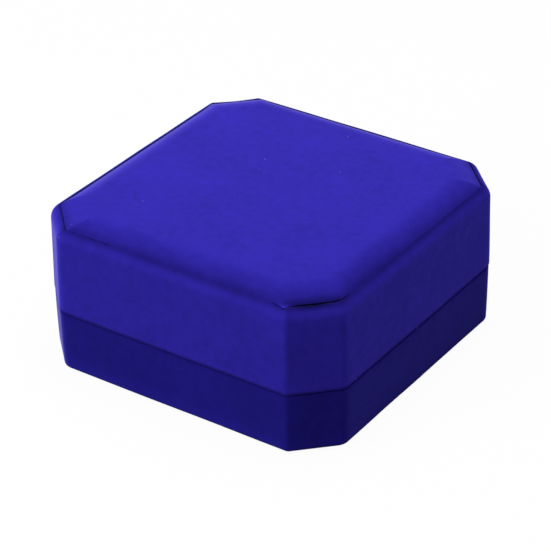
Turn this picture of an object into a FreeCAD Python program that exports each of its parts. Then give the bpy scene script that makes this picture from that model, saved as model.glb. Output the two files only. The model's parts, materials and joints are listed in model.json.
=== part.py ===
import FreeCAD, Part
import os
import re
import Sketcher

# A square jewellery case with cut corners, covered in velvet, with a hinged lid.
# The origin is the centre of the face that it stands on and +Z is up.
# The front is at -Y and the hinge at +Y.

# Every length in millimetres, every angle in degrees.
SIZES = (
    # Outline
    ("case_width", 95.0),
    ("case_depth", 95.0),
    ("corner_cut", 11.0),
    ("base_height", 18.0),
    ("parting_gap", 0.3),
    ("lid_height", 24.7),
    ("lid_overhang", 0.4),
    ("base_draft", 0.5),
    ("lid_draft", 0.35),
    ("side_round", 3.0),
    ("foot_round", 1.2),
    ("rim_round", 2.6),
    ("overrun", 2.0),
    # Moulded shells and their cover
    ("wall", 1.4),
    ("floor_thickness", 1.6),
    ("roof_thickness", 1.6),
    ("velvet", 0.6),
    ("turn_in", 4.5),
    ("turn_under", 8.0),
    ("turn_over", 4.0),
    ("panel_thickness", 1.2),
    ("panel_inset", 2.8),
    # Collar that stands up inside the base and locates the lid
    ("collar_board", 1.4),
    ("collar_gap", 0.1),
    ("collar_rise", 3.0),
    ("window_side", 1.0),
    ("window_clearance", 0.35),
    # Insert with its eight-sided pillow
    ("insert_board", 1.6),
    ("insert_gap", 0.4),
    ("pillow_width", 52.0),
    ("pillow_side", 21.5),
    ("pillow_height", 14.0),
    ("pillow_roll", 20.0),
    # Padded panel on the lid
    ("rim_width", 2.2),
    ("recess_depth", 1.8),
    ("cushion_gap", 0.3),
    ("cushion_rise", 3.0),
    ("cushion_roll", 24.0),
    ("top_board", 1.0),
    # Lining of the lid
    ("liner_gap", 1.3),
    ("liner_band", 1.2),
    ("liner_board", 1.2),
    ("band_clearance", 0.6),
    ("pad_gap", 0.25),
    ("pad_depth", 3.2),
    ("pad_roll", 22.0),
    ("satin", 0.4),
    # Snap hinge
    ("hinge_length", 46.0),
    ("hinge_out", 0.2),
    ("notch_side", 0.9),
    ("notch_clearance", 0.25),
    ("pin_radius", 0.75),
    ("pin_clearance", 0.05),
    ("pin_proud", 0.4),
    ("leaf_thickness", 0.7),
    ("leaf_drop", 10.0),
    ("knuckle_length", 6.5),
    ("knuckle_gap", 0.3),
    ("cam_length", 10.0),
    ("cam_radius", 1.85),
    ("cam_flat", 1.4),
    ("lid_opening", 100.0),
    ("spring_width", 9.0),
    ("spring_thickness", 0.4),
    ("spring_gap", 0.05),
    ("spring_side", 0.5),
    ("spring_foot", 0.6),
    ("spring_bend", 2.75),
    ("spring_rise", 0.95),
    ("spring_tip", 0.55),
    # Rivets that hold the hinge to the shells
    ("rivet_radius", 0.9),
    ("rivet_clearance", 0.05),
    ("rivet_level", 7.6),
    ("rivet_spacing", 15.0),
    ("rivet_head_radius", 2.0),
    ("rivet_head", 0.5),
    ("rivet_tail_radius", 1.6),
    ("rivet_tail", 0.5),
)

# Share of an edge's length by which its ends may differ in level and still count as level
TOLERANCE = 0.001

# Profiles of the padded forms from their seat to their crown: a share of the form's height,
# and a share of the width over which its edge rolls into the crown.
CUSHION_SHARES = (
    (0, 0.017), (0.31, 0), (0.52, 0.01), (0.67, 0.035), (0.77, 0.085),
    (0.855, 0.19), (0.93, 0.4), (0.98, 0.7), (1, 1))
PILLOW_SHARES = (
    (0, 0.05), (0.3, 0), (0.62, 0.02), (0.8, 0.1), (0.9, 0.25), (0.96, 0.5), (1, 1))

document = FreeCAD.newDocument("jewellery_case")
sheet = document.addObject("Spreadsheet::Sheet", "Sizes")
for row, (alias, value) in enumerate(SIZES, start=1):
    sheet.set(f"A{row}", alias.replace("_", " "))
    sheet.set(f"B{row}", str(value))
    sheet.setAlias(f"B{row}", alias)
document.recompute()
ALIASES = {alias for alias, value in SIZES}


def bound(text):
    """A formula in the sheet's names, as an expression that reads the sheet."""
    return re.sub(r"[a-z_]+", lambda word: f"Sizes.{word[0]}" if word[0] in ALIASES else word[0], text)


def bind(item, **formulas):
    """Bind properties to formulas; a double underscore stands for a dot."""
    for name, text in formulas.items():
        item.setExpression(name.replace("__", "."), bound(text))
    return item


# Levels and insets that several pieces share. An inset is a distance inside the outline of
# the lid's lower edge, the largest outline of the case.
SHELL_FOOT = "(panel_thickness + velvet)"
FLOOR_TOP = f"({SHELL_FOOT} + floor_thickness)"
BASE_RIM = "(base_height - velvet)"
COLLAR_TOP = "(base_height + collar_rise)"
LID_FOOT = "(base_height + parting_gap)"
LID_TOP = f"({LID_FOOT} + lid_height)"
LID_RIM = f"({LID_TOP} - velvet)"
RECESS_FLOOR = f"({LID_RIM} - recess_depth)"
ROOF_UNDER = f"({RECESS_FLOOR} - roof_thickness)"
CUSHION_SEAT = f"({RECESS_FLOOR} + velvet)"
CUSHION_TOP = f"({LID_TOP} + cushion_rise)"
LINER_SEAT = f"({ROOF_UNDER} - liner_board)"


def base_inset(level):
    """Inset of the base's outside at a level."""
    return f"(lid_overhang + base_draft * (base_height - {level}) / (base_height - panel_thickness))"


def lid_inset(level):
    """Inset of the lid's outside at a level."""
    return f"(lid_draft * ({level} - {LID_FOOT}) / lid_height)"


def behind(outside, depth):
    """Inset, at any level, of a surface that lies a depth behind an outside."""
    return lambda level: f"({outside(level)} + {depth})"


COLLAR_EDGE = f"({base_inset('(base_height - turn_in)')} + 2 * velvet + wall + collar_gap)"
COLLAR_BORE = f"({COLLAR_EDGE} + 2 * velvet + collar_board)"
INSERT_EDGE = f"({COLLAR_BORE} + insert_gap)"
CUSHION_EDGE = "(lid_draft + 2 * velvet + rim_width + cushion_gap)"
BAND_EDGE = "(lid_draft + velvet + wall + liner_gap)"
PAD_EDGE = f"({BAND_EDGE} + liner_band + pad_gap)"


def origin_plane(body, role):
    return next(item for item in body.Origin.OriginFeatures if item.Role == role)


def new_sketch(body, name, role):
    sketch = body.newObject("Sketcher::SketchObject", name)
    sketch.AttachmentSupport = [(origin_plane(body, role), "")]
    sketch.MapMode = "FlatFace"
    return sketch


def level_sketch(body, name, level):
    """A sketch that lies at a level, in a body or on its own."""
    if body is None:
        return bind(document.addObject("Sketcher::SketchObject", name), Placement__Base__z=level)
    return bind(new_sketch(body, name, "XY_Plane"), AttachmentOffset__Base__z=level)


def dimension(sketch, name, kind, line, end, value, text):
    """A named distance from the sketch's origin to the end of a line."""
    index = sketch.addConstraint(Sketcher.Constraint(kind, -1, 1, line, end, value))
    sketch.renameConstraint(index, name)
    sketch.setExpression(f"Constraints.{name}", bound(text))


def outline(sketch, rows, guesses):
    """A closed outline through points, each given by two formulas and drawn first at a guess."""
    count = len(rows)
    for n in range(count):
        sketch.addGeometry(Part.LineSegment(guesses[n], guesses[(n + 1) % count]), False)
    for n in range(count):
        sketch.addConstraint(Sketcher.Constraint("Coincident", n, 2, (n + 1) % count, 1))
    for n, (across, along) in enumerate(rows):
        dimension(sketch, f"across_{n}", "DistanceX", n, 1, guesses[n].x, across)
        dimension(sketch, f"along_{n}", "DistanceY", n, 1, guesses[n].y, along)


def case_outline(inset):
    """Half widths of an outline inside the case's, and how far its straight sides reach from the middle."""
    corner = f"(corner_cut + (sqrt(2) - 1) * {inset})"
    return (f"(case_width / 2 - {inset})", f"(case_depth / 2 - {inset})",
            f"(case_width / 2 - {corner})", f"(case_depth / 2 - {corner})")


def drawn_in(outline, distance):
    """An outline scaled down so that its sides lie a distance further in."""
    half_width, half_depth, end, side = outline
    return (f"({half_width} - {distance})", f"({half_depth} - {distance})",
            f"({end} * (1 - {distance} / {half_width}))", f"({side} * (1 - {distance} / {half_depth}))")


def octagon(body, name, level, *outlines):
    """A sketch of cut-cornered outlines, one inside another, at a level."""
    sketch = level_sketch(body, name, level)
    width, depth = sheet.case_width / 2, sheet.case_depth / 2
    end, side = width - sheet.corner_cut, depth - sheet.corner_cut
    corners = [FreeCAD.Vector(x, y, 0) for x, y in (
        (width, -side), (width, side), (end, depth), (-end, depth),
        (-width, side), (-width, -side), (-end, -depth), (end, -depth))]
    for ring, (half_width, half_depth, reach_x, reach_y) in enumerate(outlines):
        right, back, left, front = (8 * ring + turn for turn in (0, 2, 4, 6))
        for start, corner in enumerate(corners):
            sketch.addGeometry(Part.LineSegment(corner, corners[(start + 1) % 8]), False)
        for start in range(8):
            sketch.addConstraint(Sketcher.Constraint(
                "Coincident", 8 * ring + start, 2, 8 * ring + (start + 1) % 8, 1))
        for first, first_end, second, second_end, axis in (
                (right, 1, right, 2, -1), (back, 1, back, 2, -2), (left, 1, left, 2, -1),
                (front, 1, front, 2, -2), (right, 2, left, 1, -2), (back, 1, front, 2, -1)):
            sketch.addConstraint(Sketcher.Constraint(
                "Symmetric", first, first_end, second, second_end, axis))
        dimension(sketch, f"half_width_{ring}", "DistanceX", right, 2, width, half_width)
        dimension(sketch, f"half_depth_{ring}", "DistanceY", back, 1, depth, half_depth)
        dimension(sketch, f"reach_x_{ring}", "DistanceX", back, 1, end, reach_x)
        dimension(sketch, f"reach_y_{ring}", "DistanceY", right, 2, side, reach_y)
    return sketch


def dressed(body, name, kind, chosen, **size):
    """Round or bevel the edges of a body's tip that the test chooses."""
    base = body.Tip
    edges = [f"Edge{n}" for n, edge in enumerate(base.Shape.Edges, start=1) if chosen(edge)]
    feature = body.newObject(f"PartDesign::{kind}", name)
    feature.Base = (base, edges)
    bind(feature, **size)
    document.recompute()


def drafted(name, low, high, inset):
    """A block whose walls follow an inset from one level to another."""
    body = document.addObject("PartDesign::Body", name)
    pad = body.newObject("PartDesign::Pad", f"{name}_pad")
    pad.Profile = octagon(body, f"{name}_outline", low, case_outline(inset(low)))
    bind(pad, Length=f"{high} - {low}", TaperAngle=f"atan(({inset(low)} - {inset(high)}) / ({high} - {low}))")
    document.recompute()
    return body


def dress_end(body, extreme, kind, **size):
    """Round or bevel a block's lowest or highest edges."""
    level = extreme(vertex.Z for vertex in body.Tip.Shape.Vertexes)
    dressed(body, f"{body.Name}_{extreme.__name__}", kind, lambda edge: lies_at(edge, level), **size)


def upright(edge):
    first, last = (vertex.Point for vertex in (edge.Vertexes[0], edge.Vertexes[-1]))
    return abs(last.z - first.z) > edge.Length / 2


def lies_at(edge, level):
    return all(abs(vertex.Z - level) < edge.Length * TOLERANCE for vertex in edge.Vertexes)


def slab(name, level, height, *insets):
    """A flat plate with the case's outline, or a ring between two insets."""
    body = document.addObject("PartDesign::Body", name)
    pad = body.newObject("PartDesign::Pad", f"{name}_pad")
    pad.Profile = octagon(body, f"{name}_outline", level, *map(case_outline, insets))
    bind(pad, Length=height)
    document.recompute()
    return body


def box(name, length, width, height, x, y, z):
    return bind(document.addObject("Part::Box", name), Length=length, Width=width, Height=height,
                Placement__Base__x=x, Placement__Base__y=y, Placement__Base__z=z)


def rod(name, radius, length, x, y, z, along):
    """A cylinder from a point along +X or -Y."""
    item = document.addObject("Part::Cylinder", name)
    turn_axis = {"+X": FreeCAD.Vector(0, 1, 0), "-Y": FreeCAD.Vector(1, 0, 0)}[along]
    item.Placement.Rotation = FreeCAD.Rotation(turn_axis, 90)
    return bind(item, Radius=radius, Height=length,
                Placement__Base__x=x, Placement__Base__y=y, Placement__Base__z=z)


def fused(name, *pieces):
    item = document.addObject("Part::MultiFuse", name)
    item.Shapes = list(pieces)
    return item


def cut(name, base, *tools):
    item = document.addObject("Part::Cut", name)
    item.Base = base
    item.Tool = tools[0] if len(tools) == 1 else fused(f"{name}_tools", *tools)
    return item


def group(name, *pieces):
    item = document.addObject("Part::Compound", name)
    item.Links = list(pieces)
    return item


nodes = {}

# Hinge axis, and what lies round it
AXIS_Y = "(case_depth / 2 + hinge_out)"
AXIS_Z = "(base_height + parting_gap / 2)"
KNUCKLE = "(pin_radius + pin_clearance + leaf_thickness)"
BORE = "(pin_radius + pin_clearance)"
NOTCH = "(cam_radius + notch_clearance)"
BASE_LEAF_END = f"({AXIS_Z} - {KNUCKLE} - leaf_drop)"
LID_LEAF_END = f"({AXIS_Z} + {KNUCKLE} + leaf_drop)"
BASE_LEAF_BACK = f"(case_depth / 2 - {base_inset(BASE_LEAF_END)} - velvet - wall)"
LID_LEAF_BACK = f"(case_depth / 2 - {lid_inset(LID_LEAF_END)} - velvet - wall)"
BASE_LEAF_FRONT = f"({BASE_LEAF_BACK} - leaf_thickness)"
LID_LEAF_FRONT = f"({LID_LEAF_BACK} - leaf_thickness)"
SPRING_FRONT = f"({BASE_LEAF_FRONT} - spring_thickness)"
BASE_RIVET = f"({AXIS_Z} - rivet_level)"
LID_RIVET = f"({AXIS_Z} + rivet_level)"
BASE_RIVET_HEAD = f"(case_depth / 2 - {base_inset(f'({BASE_RIVET} - rivet_head_radius)')} - velvet)"
LID_RIVET_HEAD = f"(case_depth / 2 - {lid_inset(f'({LID_RIVET} + rivet_head_radius)')} - velvet)"
RIVET_PLACES = ("-rivet_spacing", "0 * rivet_spacing", "rivet_spacing")
# The mouth cut in both back walls for the knuckles reaches from the lining to the outside.
MOUTH_FRONT = f"(case_depth / 2 - {COLLAR_EDGE})"
MOUTH_LENGTH = "(hinge_length + 2 * notch_side)"
MOUTH_START = "(-hinge_length / 2 - notch_side)"


def hinge_mouth(name, low, high, front=MOUTH_FRONT, back="(case_depth / 2 + overrun)"):
    """The opening in a back wall over the hinge's length, between two levels."""
    return box(name, MOUTH_LENGTH, f"{back} - {front}", f"{high} - {low}", MOUTH_START, front, low)


def rivet_holes(name, level, head):
    """Holes for a row of rivets, with counterbores for their heads."""
    holes = []
    for n, place in enumerate(RIVET_PLACES):
        holes.append(rod(f"{name}_shank_{n}", "rivet_radius + rivet_clearance",
                         f"{head} - {MOUTH_FRONT} + overrun", place, head, level, "-Y"))
        holes.append(rod(f"{name}_head_{n}", "rivet_head_radius + rivet_clearance",
                         "rivet_head + overrun", place, f"{head} + overrun", level, "-Y"))
    return holes


def rivets(name, level, head, grips):
    """A row of rivets, each with a flat head outside and a closed tail inside the leaf."""
    pieces = []
    for n, (place, grip) in enumerate(zip(RIVET_PLACES, grips)):
        pieces.append(fused(
            f"{name}_{n}",
            rod(f"{name}_{n}_head", "rivet_head_radius", "rivet_head", place, head, level, "-Y"),
            rod(f"{name}_{n}_shank", "rivet_radius", f"{head} - {grip}", place, head, level, "-Y"),
            rod(f"{name}_{n}_tail", "rivet_tail_radius", "rivet_tail", place, grip, level, "-Y")))
    return group(name, *pieces)


# Base: a moulded tray with drafted walls
base_block = drafted("base_block", SHELL_FOOT, BASE_RIM, behind(base_inset, "velvet"))
dress_end(base_block, min, "Chamfer", Size="(2 - sqrt(2)) * (foot_round - velvet)")
base_well = drafted("base_well", FLOOR_TOP, "(base_height + overrun)", behind(base_inset, "velvet + wall"))
nodes["base_shell"] = cut(
    "base_shell", base_block, base_well,
    hinge_mouth("base_shell_mouth", f"({AXIS_Z} - {NOTCH})", "(base_height + overrun)"),
    *rivet_holes("base_shell_holes", BASE_RIVET, BASE_RIVET_HEAD))

# Velvet over the base's walls, turned in over the rim and under the foot
BASE_TURN = "(base_height - turn_in)"
base_wrap = drafted("base_wrap", "panel_thickness", "base_height", base_inset)
dressed(base_wrap, "base_wrap_corners", "Fillet", upright, Radius="side_round")
dress_end(base_wrap, min, "Fillet", Radius="foot_round")
base_mouth = drafted(
    "base_mouth", BASE_TURN, "(base_height + overrun)", behind(base_inset, "2 * velvet + wall"))
base_turn = cut(
    "base_turn",
    drafted("base_turn_block", BASE_TURN, BASE_RIM, behind(base_inset, "velvet + wall")),
    base_mouth)
base_under = slab("base_under", "0 * velvet", SHELL_FOOT, f"({base_inset('panel_thickness')} + turn_under)")
nodes["base_velvet"] = cut(
    "base_velvet",
    fused("base_cover", cut("base_cover_side", base_wrap, base_block, base_mouth, base_under), base_turn),
    hinge_mouth("base_cover_mouth", f"({AXIS_Z} - {NOTCH})", "(base_height + overrun)"),
    hinge_mouth("base_cover_turn", f"({BASE_TURN} - overrun)", "(base_height + overrun)",
                back=f"({BASE_LEAF_BACK} + wall)"))

# Covered panel that closes the underside and that the case stands on
nodes["base_panel"] = slab("base_panel", "0 * velvet", "panel_thickness",
                           f"({base_inset('panel_thickness')} + panel_inset)")

# Collar of board inside the base, covered in velvet, with a window for the hinge
window = (f"({FLOOR_TOP} + window_side)", f"({AXIS_Z} - {BORE} + window_clearance)")
collar_ring = slab("collar_ring", FLOOR_TOP, f"{COLLAR_TOP} - velvet - {FLOOR_TOP}",
                   f"({COLLAR_EDGE} + velvet)", f"({COLLAR_EDGE} + velvet + collar_board)")
nodes["collar_board"] = cut(
    "collar_board", collar_ring,
    hinge_mouth("collar_window", *window, front=f"(case_depth / 2 - {COLLAR_BORE})"))
nodes["collar_velvet"] = cut(
    "collar_velvet",
    slab("collar_cover", FLOOR_TOP, f"{COLLAR_TOP} - {FLOOR_TOP}", COLLAR_EDGE, COLLAR_BORE),
    collar_ring,
    slab("collar_bare", FLOOR_TOP, f"base_height - turn_in - {FLOOR_TOP}",
         f"({COLLAR_EDGE} - overrun)", f"({COLLAR_EDGE} + velvet)"),
    hinge_mouth("collar_cover_window", *window, front=f"(case_depth / 2 - {COLLAR_EDGE} - velvet)"))

# Insert board in the base, covered in velvet, which carries the pillow
insert_block = slab("insert_block", FLOOR_TOP, "insert_board", f"({INSERT_EDGE} + velvet)")
nodes["insert_velvet"] = cut(
    "insert_velvet", slab("insert_cover", FLOOR_TOP, "insert_board + velvet", INSERT_EDGE), insert_block)
nodes["insert_board"] = insert_block
PILLOW_SEAT = f"({FLOOR_TOP} + insert_board + velvet)"


def padded(name, seat, crown, outline, roll, shares):
    """A padded form with drawn-in sides that rolls from its seat to its crown, through a table of shares."""
    loft = document.addObject("Part::Loft", name)
    loft.Sections = [
        octagon(None, f"{name}_section_{n}", f"({seat} + {height} * ({crown} - {seat}))",
                drawn_in(outline, f"({draw} * {roll})"))
        for n, (height, draw) in enumerate(shares)]
    loft.Solid = loft.Ruled = loft.Linearize = True
    document.recompute()
    return loft


def pillow(name, cover):
    """The pillow, smaller all round by the thickness of its cover."""
    half, reach = f"(pillow_width / 2 - {cover})", f"(pillow_side / 2 - (sqrt(2) - 1) * {cover})"
    return padded(name, PILLOW_SEAT, f"({PILLOW_SEAT} + pillow_height - {cover})", (half, half, reach, reach),
                  "pillow_roll", PILLOW_SHARES)


nodes["pillow_core"] = pillow("pillow_core", "velvet")
nodes["pillow_velvet"] = cut("pillow_velvet", pillow("pillow_cover", "0 * velvet"), nodes["pillow_core"])

# Lid: a moulded cap with a shallow recess in its top
lid_block = drafted("lid_block", f"({LID_FOOT} + velvet)", LID_RIM, behind(lid_inset, "velvet"))
dress_end(lid_block, max, "Chamfer", Size="(2 - sqrt(2)) * (rim_round - velvet)")
lid_well = drafted("lid_well", f"({LID_FOOT} - overrun)", ROOF_UNDER, behind(lid_inset, "velvet + wall"))
lid_recess = drafted(
    "lid_recess", RECESS_FLOOR, f"({LID_TOP} + overrun)", behind(lid_inset, "velvet + rim_width"))
nodes["lid_shell"] = cut(
    "lid_shell", lid_block, lid_well, lid_recess,
    hinge_mouth("lid_shell_mouth", f"({LID_FOOT} - overrun)", f"({AXIS_Z} + {NOTCH})"),
    *rivet_holes("lid_shell_holes", LID_RIVET, LID_RIVET_HEAD))

# Velvet over the lid's walls, turned in at its foot, over its rim and on to the recess's floor
LID_TURN = f"({LID_FOOT} + turn_in)"
lid_wrap = drafted("lid_wrap", LID_FOOT, LID_TOP, lid_inset)
dressed(lid_wrap, "lid_wrap_corners", "Fillet", upright, Radius="side_round")
dress_end(lid_wrap, max, "Fillet", Radius="rim_round")
lid_mouth = drafted("lid_mouth", f"({LID_FOOT} - overrun)", LID_TURN, behind(lid_inset, "2 * velvet + wall"))
lid_turn = cut(
    "lid_turn",
    drafted("lid_turn_block", f"({LID_FOOT} + velvet)", LID_TURN, behind(lid_inset, "velvet + wall")),
    lid_mouth)
rim_mouth = drafted(
    "rim_mouth", CUSHION_SEAT, f"({LID_TOP} + overrun)", behind(lid_inset, "2 * velvet + rim_width"))
rim_turn = cut(
    "rim_turn",
    drafted("rim_turn_block", RECESS_FLOOR, LID_RIM, behind(lid_inset, "velvet + rim_width")),
    rim_mouth,
    slab("rim_open", RECESS_FLOOR, "recess_depth", "(lid_draft + 2 * velvet + rim_width + turn_over)"))
nodes["lid_velvet"] = cut(
    "lid_velvet",
    fused("lid_cover", cut("lid_cover_side", lid_wrap, lid_block, lid_mouth, rim_mouth), lid_turn, rim_turn),
    hinge_mouth("lid_cover_mouth", f"({LID_FOOT} - overrun)", f"({AXIS_Z} + {NOTCH})"),
    hinge_mouth("lid_cover_turn", f"({LID_FOOT} - overrun)", f"({LID_TURN} + overrun)",
                back=f"({LID_LEAF_BACK} + wall)"))


# Padded panel that lies in the lid's recess: board, wadding and velvet
nodes["top_board"] = slab("top_board", CUSHION_SEAT, "top_board",
                          f"({CUSHION_EDGE} + {CUSHION_SHARES[0][1]} * cushion_roll + velvet)")
nodes["top_wadding"] = padded("top_wadding", f"({CUSHION_SEAT} + top_board)", f"({CUSHION_TOP} - velvet)",
                              case_outline(f"({CUSHION_EDGE} + velvet)"), "cushion_roll", CUSHION_SHARES)
nodes["top_velvet"] = cut(
    "top_velvet",
    padded("top_cover", CUSHION_SEAT, CUSHION_TOP,
           case_outline(CUSHION_EDGE), "cushion_roll", CUSHION_SHARES),
    nodes["top_board"], nodes["top_wadding"])

# Lining of the lid: a band round the walls, and a board with a padded satin panel
nodes["liner_band"] = slab(
    "liner_band", f"({COLLAR_TOP} + band_clearance)", f"{LINER_SEAT} - {COLLAR_TOP} - band_clearance",
    BAND_EDGE, f"({BAND_EDGE} + liner_band)")
nodes["liner_board"] = slab(
    "liner_board", LINER_SEAT, "liner_board", "(lid_draft + velvet + wall + cushion_gap)")
PAD_CROWN = f"({LINER_SEAT} - pad_depth)"
nodes["liner_wadding"] = padded("liner_wadding", LINER_SEAT, f"({PAD_CROWN} + satin)",
                                case_outline(f"({PAD_EDGE} + satin)"), "pad_roll", CUSHION_SHARES)
nodes["liner_satin"] = cut(
    "liner_satin",
    padded("liner_pad", LINER_SEAT, PAD_CROWN, case_outline(PAD_EDGE), "pad_roll", CUSHION_SHARES),
    nodes["liner_wadding"])


# Snap hinge: two leaves on a pin, and a flat spring that presses on a two-sided cam
def knuckle(name, start, length, leaf_front, strip_level, radius=KNUCKLE):
    """A curled knuckle with the strip that joins it to its leaf."""
    return fused(
        name,
        rod(f"{name}_curl", radius, length, start, AXIS_Y, AXIS_Z, "+X"),
        box(f"{name}_strip", length, f"{AXIS_Y} - {leaf_front}", "leaf_thickness",
            start, leaf_front, strip_level))


def leaf_holes(name, level, front):
    return [rod(f"{name}_{n}", "rivet_radius + rivet_clearance", "leaf_thickness + overrun",
                place, f"{front} + leaf_thickness + overrun / 2", level, "-Y")
            for n, place in enumerate(RIVET_PLACES)]


pin_bore = rod("pin_bore", BORE, "hinge_length + 2 * overrun", "-hinge_length / 2 - overrun",
               AXIS_Y, AXIS_Z, "+X")
BASE_STRIP = f"({AXIS_Z} - {KNUCKLE})"
LID_STRIP = f"({AXIS_Z} + {BORE})"
base_leaf = fused(
    "base_leaf",
    box("base_leaf_plate",
        "hinge_length", "leaf_thickness", f"{BASE_STRIP} + leaf_thickness - {BASE_LEAF_END}",
        "-hinge_length / 2", BASE_LEAF_FRONT, BASE_LEAF_END),
    knuckle("base_knuckle_left", "-hinge_length / 2", "knuckle_length", BASE_LEAF_FRONT, BASE_STRIP),
    knuckle("base_knuckle_right", "hinge_length / 2 - knuckle_length", "knuckle_length",
            BASE_LEAF_FRONT, BASE_STRIP))
spring_window = box(
    "spring_window", "spring_width + 2 * spring_side", "leaf_thickness + 2 * overrun", "spring_bend",
    "-spring_width / 2 - spring_side", f"{BASE_LEAF_FRONT} - overrun",
    f"{AXIS_Z} - spring_bend - spring_side")
nodes["hinge_base_leaf"] = cut(
    "hinge_base_leaf", base_leaf, pin_bore, spring_window,
    *leaf_holes("base_leaf_hole", BASE_RIVET, BASE_LEAF_FRONT))

cam_round = knuckle("cam_round", "-cam_length / 2", "cam_length", LID_LEAF_FRONT, LID_STRIP, "cam_radius")
shut_flat = box("shut_flat", "cam_length + 2 * overrun", "cam_radius", f"cam_radius + {BORE}",
                "-cam_length / 2 - overrun", f"{AXIS_Y} - cam_flat - cam_radius", f"{AXIS_Z} - cam_radius")
open_flat = box(
    "open_flat", "cam_length + 2 * overrun", "cam_radius", "2 * cam_radius", "-cam_length / 2 - overrun",
    f"{AXIS_Y} - (cam_flat + cam_radius) * cos(lid_opening) + cam_radius * sin(lid_opening)",
    f"{AXIS_Z} - (cam_flat + cam_radius) * sin(lid_opening) - cam_radius * cos(lid_opening)")
open_flat.Placement.Rotation = FreeCAD.Rotation(FreeCAD.Vector(1, 0, 0), sheet.lid_opening)
lid_leaf = fused(
    "lid_leaf",
    box("lid_leaf_plate", "hinge_length", "leaf_thickness", f"{LID_LEAF_END} - {LID_STRIP}",
        "-hinge_length / 2", LID_LEAF_FRONT, LID_STRIP),
    knuckle("lid_knuckle_left", "-hinge_length / 2 + knuckle_length + knuckle_gap", "knuckle_length",
            LID_LEAF_FRONT, LID_STRIP),
    knuckle("lid_knuckle_right", "hinge_length / 2 - 2 * knuckle_length - knuckle_gap", "knuckle_length",
            LID_LEAF_FRONT, LID_STRIP),
    cut("cam", cam_round, shut_flat, open_flat))
nodes["hinge_lid_leaf"] = cut(
    "hinge_lid_leaf", lid_leaf, pin_bore, *leaf_holes("lid_leaf_hole", LID_RIVET, LID_LEAF_FRONT))
nodes["hinge_pin"] = rod("hinge_pin", "pin_radius", "hinge_length + 2 * pin_proud",
                         "-hinge_length / 2 - pin_proud", AXIS_Y, AXIS_Z, "+X")

# The spring's foot lies on the base's leaf, and its tip bears on the cam's flat
spring_body = document.addObject("PartDesign::Body", "spring_body")
spring_outline = new_sketch(spring_body, "spring_outline", "YZ_Plane")
bind(spring_outline, AttachmentOffset__Base__z="-spring_width / 2")
SPRING_BACK = f"({AXIS_Y} - cam_flat - spring_gap)"
SPRING_POINTS = tuple(
    (f"{back} - {layer} * spring_thickness", level)
    for layer, run in ((0, 1), (1, -1))
    for back, level in (
        (BASE_LEAF_FRONT, f"{BASE_LEAF_END} + spring_foot"), (BASE_LEAF_FRONT, f"{AXIS_Z} - spring_bend"),
        (SPRING_BACK, f"{AXIS_Z} - spring_rise"), (SPRING_BACK, f"{AXIS_Z} + spring_tip"))[::run])
SPRING_STARTS = [
    FreeCAD.Vector(sheet.case_depth / 2 - layer * sheet.spring_thickness,
                   sheet.base_height + step * sheet.spring_bend, 0)
    for layer, run in ((0, -1), (1, 1)) for step in range(4)[::run]]
outline(spring_outline, SPRING_POINTS, SPRING_STARTS)
spring_pad = spring_body.newObject("PartDesign::Pad", "spring_pad")
spring_pad.Profile = spring_outline
bind(spring_pad, Length="spring_width")
nodes["hinge_spring"] = cut(
    "hinge_spring", spring_body,
    rod("spring_hole", "rivet_radius + rivet_clearance", "spring_thickness + 2 * overrun",
        RIVET_PLACES[1], f"{BASE_LEAF_FRONT} + overrun", BASE_RIVET, "-Y"))

# The middle rivet of the base also holds the spring's foot
nodes["hinge_base_rivets"] = rivets("hinge_base_rivets", BASE_RIVET, BASE_RIVET_HEAD,
                                    (BASE_LEAF_FRONT, SPRING_FRONT, BASE_LEAF_FRONT))
nodes["hinge_lid_rivets"] = rivets("hinge_lid_rivets", LID_RIVET, LID_RIVET_HEAD, (LID_LEAF_FRONT,) * 3)

document.recompute()
for item in document.Objects:
    if {"Invalid", "Error"} & set(item.State):
        raise RuntimeError(f"{item.Name} failed: {item.State}")
os.makedirs("parts", exist_ok=True)
for name, item in nodes.items():
    item.Label = name
    if item.Shape.isNull() or not item.Shape.isValid() or not item.Shape.Solids:
        raise RuntimeError(f"{name} has no valid solid")
    item.Shape.exportStep(f"parts/{name}.step")
    print(f"{name}: {len(item.Shape.Solids)} solids, {item.Shape.Volume:.1f} mm3")
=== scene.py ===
import json
import math

import bmesh
import bpy
from mathutils import Matrix, Quaternion, Vector, noise


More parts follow.
